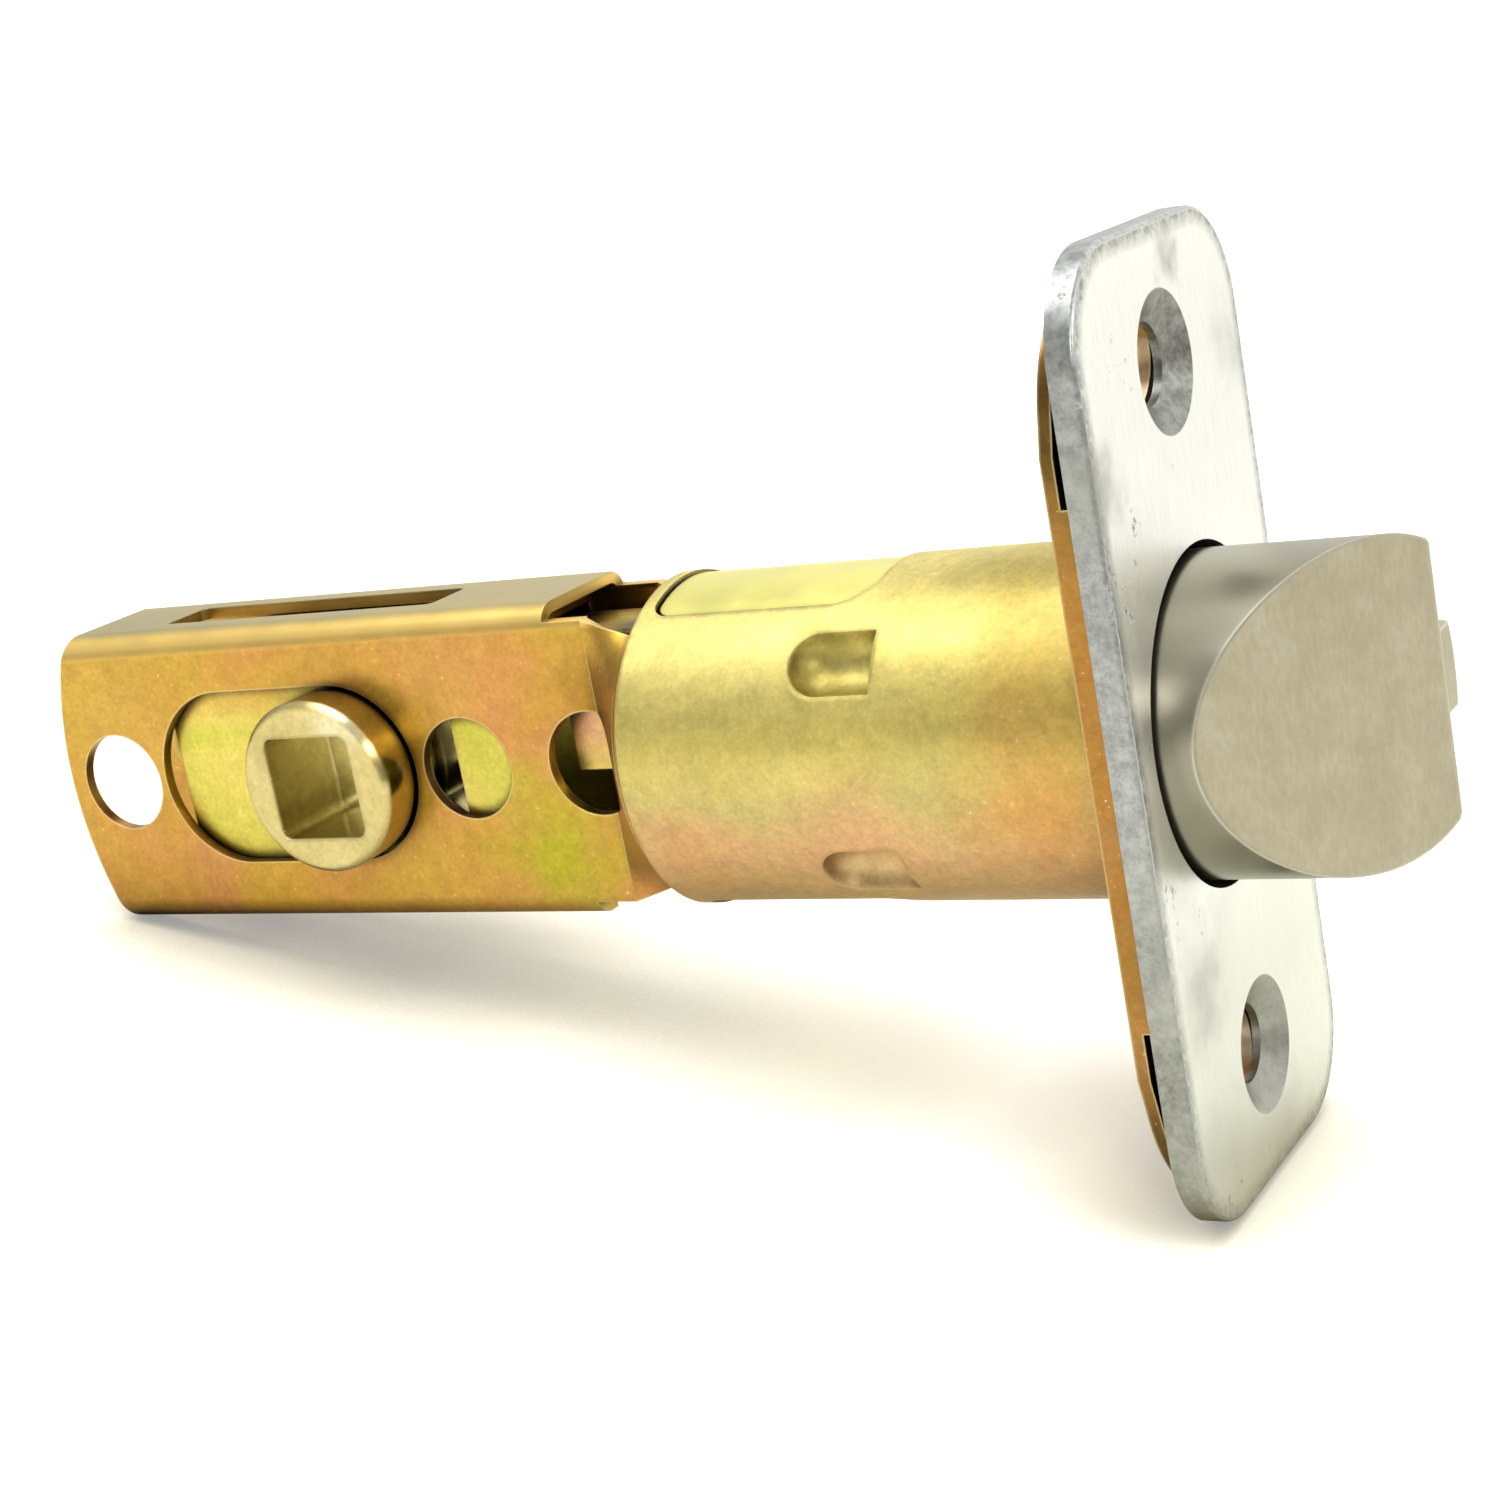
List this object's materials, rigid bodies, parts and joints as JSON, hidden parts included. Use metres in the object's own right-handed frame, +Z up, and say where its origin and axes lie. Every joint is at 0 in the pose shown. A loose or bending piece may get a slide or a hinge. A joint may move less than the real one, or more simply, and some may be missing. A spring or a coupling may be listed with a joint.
{
  "type": "tubular door latch",
  "caption": "Tubular spring latch for a bored door: faceplate, bevelled bolt with deadlocking plunger, tube and frame with an adjustable hub.",
  "frame": {"origin": "centre of the faceplate's front face, on the bolt's axis", "axes": "+X out along the bolt, +Z up along the faceplate, +Y towards the flat back of the bolt"},
  "size_m": [0.0968, 0.0254, 0.0572],
  "materials": {
    "satin_nickel": "satin nickel plate, worn at the rim",
    "yellow_zinc": "yellow chromated zinc plate",
    "yellow_zinc_backing": "orange-gold chromated zinc plate",
    "yellow_zinc_tube": "yellow chromated zinc plate with a pale rainbow tint",
    "yellow_zinc_frame": "orange-gold chromated zinc plate",
    "yellow_zinc_hub": "pale chromated zinc plate",
    "sintered_steel": "matt, finely brushed",
    "plain_steel": "bright drawn steel",
    "spring_steel": "drawn spring wire"
  },
  "bodies": {
    "case": {"faceplate": "satin_nickel", "backplate": "yellow_zinc_backing", "tube": "yellow_zinc_tube", "frame": "yellow_zinc_frame", "guide_box": "yellow_zinc", "spring_seat": "yellow_zinc", "bolt_spring": "spring_steel", "plunger_spring": "spring_steel"},
    "bolt": {"latch_bolt": "sintered_steel", "bolt_rod": "plain_steel", "rod_pin": "plain_steel"},
    "plunger": {"plunger": "sintered_steel", "plunger_stem": "plain_steel"},
    "carriage": {"carrier_near": "yellow_zinc", "carrier_far": "yellow_zinc", "carrier_rivets": "plain_steel"},
    "hub": {"hub_near": "yellow_zinc_hub", "hub_cam": "yellow_zinc_hub", "hub_far": "yellow_zinc_hub"},
    "yoke": {"yoke": "yellow_zinc", "yoke_pins": "plain_steel"}
  },
  "joints": [
    {"name": "hub_turn", "type": "hinge", "parent": "carriage", "child": "hub", "pos_m": [-0.06032, 0, 0], "axis": [0, -1, 0], "range_deg": [0, 79]},
    {"name": "bolt_slide", "type": "slide", "parent": "case", "child": "bolt", "axis": [1, 0, 0], "range_m": [-0.01144, 0], "stiffness_N_per_m": 300, "springref_m": 0.01, "deforming": ["bolt_spring"]},
    {"name": "plunger_slide", "type": "slide", "parent": "case", "child": "plunger", "axis": [1, 0, 0], "range_m": [-0.0102, 0], "stiffness_N_per_m": 80, "springref_m": 0.008, "deforming": ["plunger_spring"]},
    {"name": "backset_slide", "type": "slide", "parent": "case", "child": "carriage", "axis": [1, 0, 0], "range_m": [-0.00953, 0]},
    {"name": "yoke_slide", "type": "slide", "parent": "carriage", "child": "yoke", "axis": [1, 0, 0], "range_m": [-0.01144, 0]}
  ],
  "couplings": [
    {"joint": "hub_turn", "follows": "bolt_slide", "rad_per_m": -120.5},
    {"joint": "yoke_slide", "follows": "bolt_slide", "ratio": 1}
  ]
}
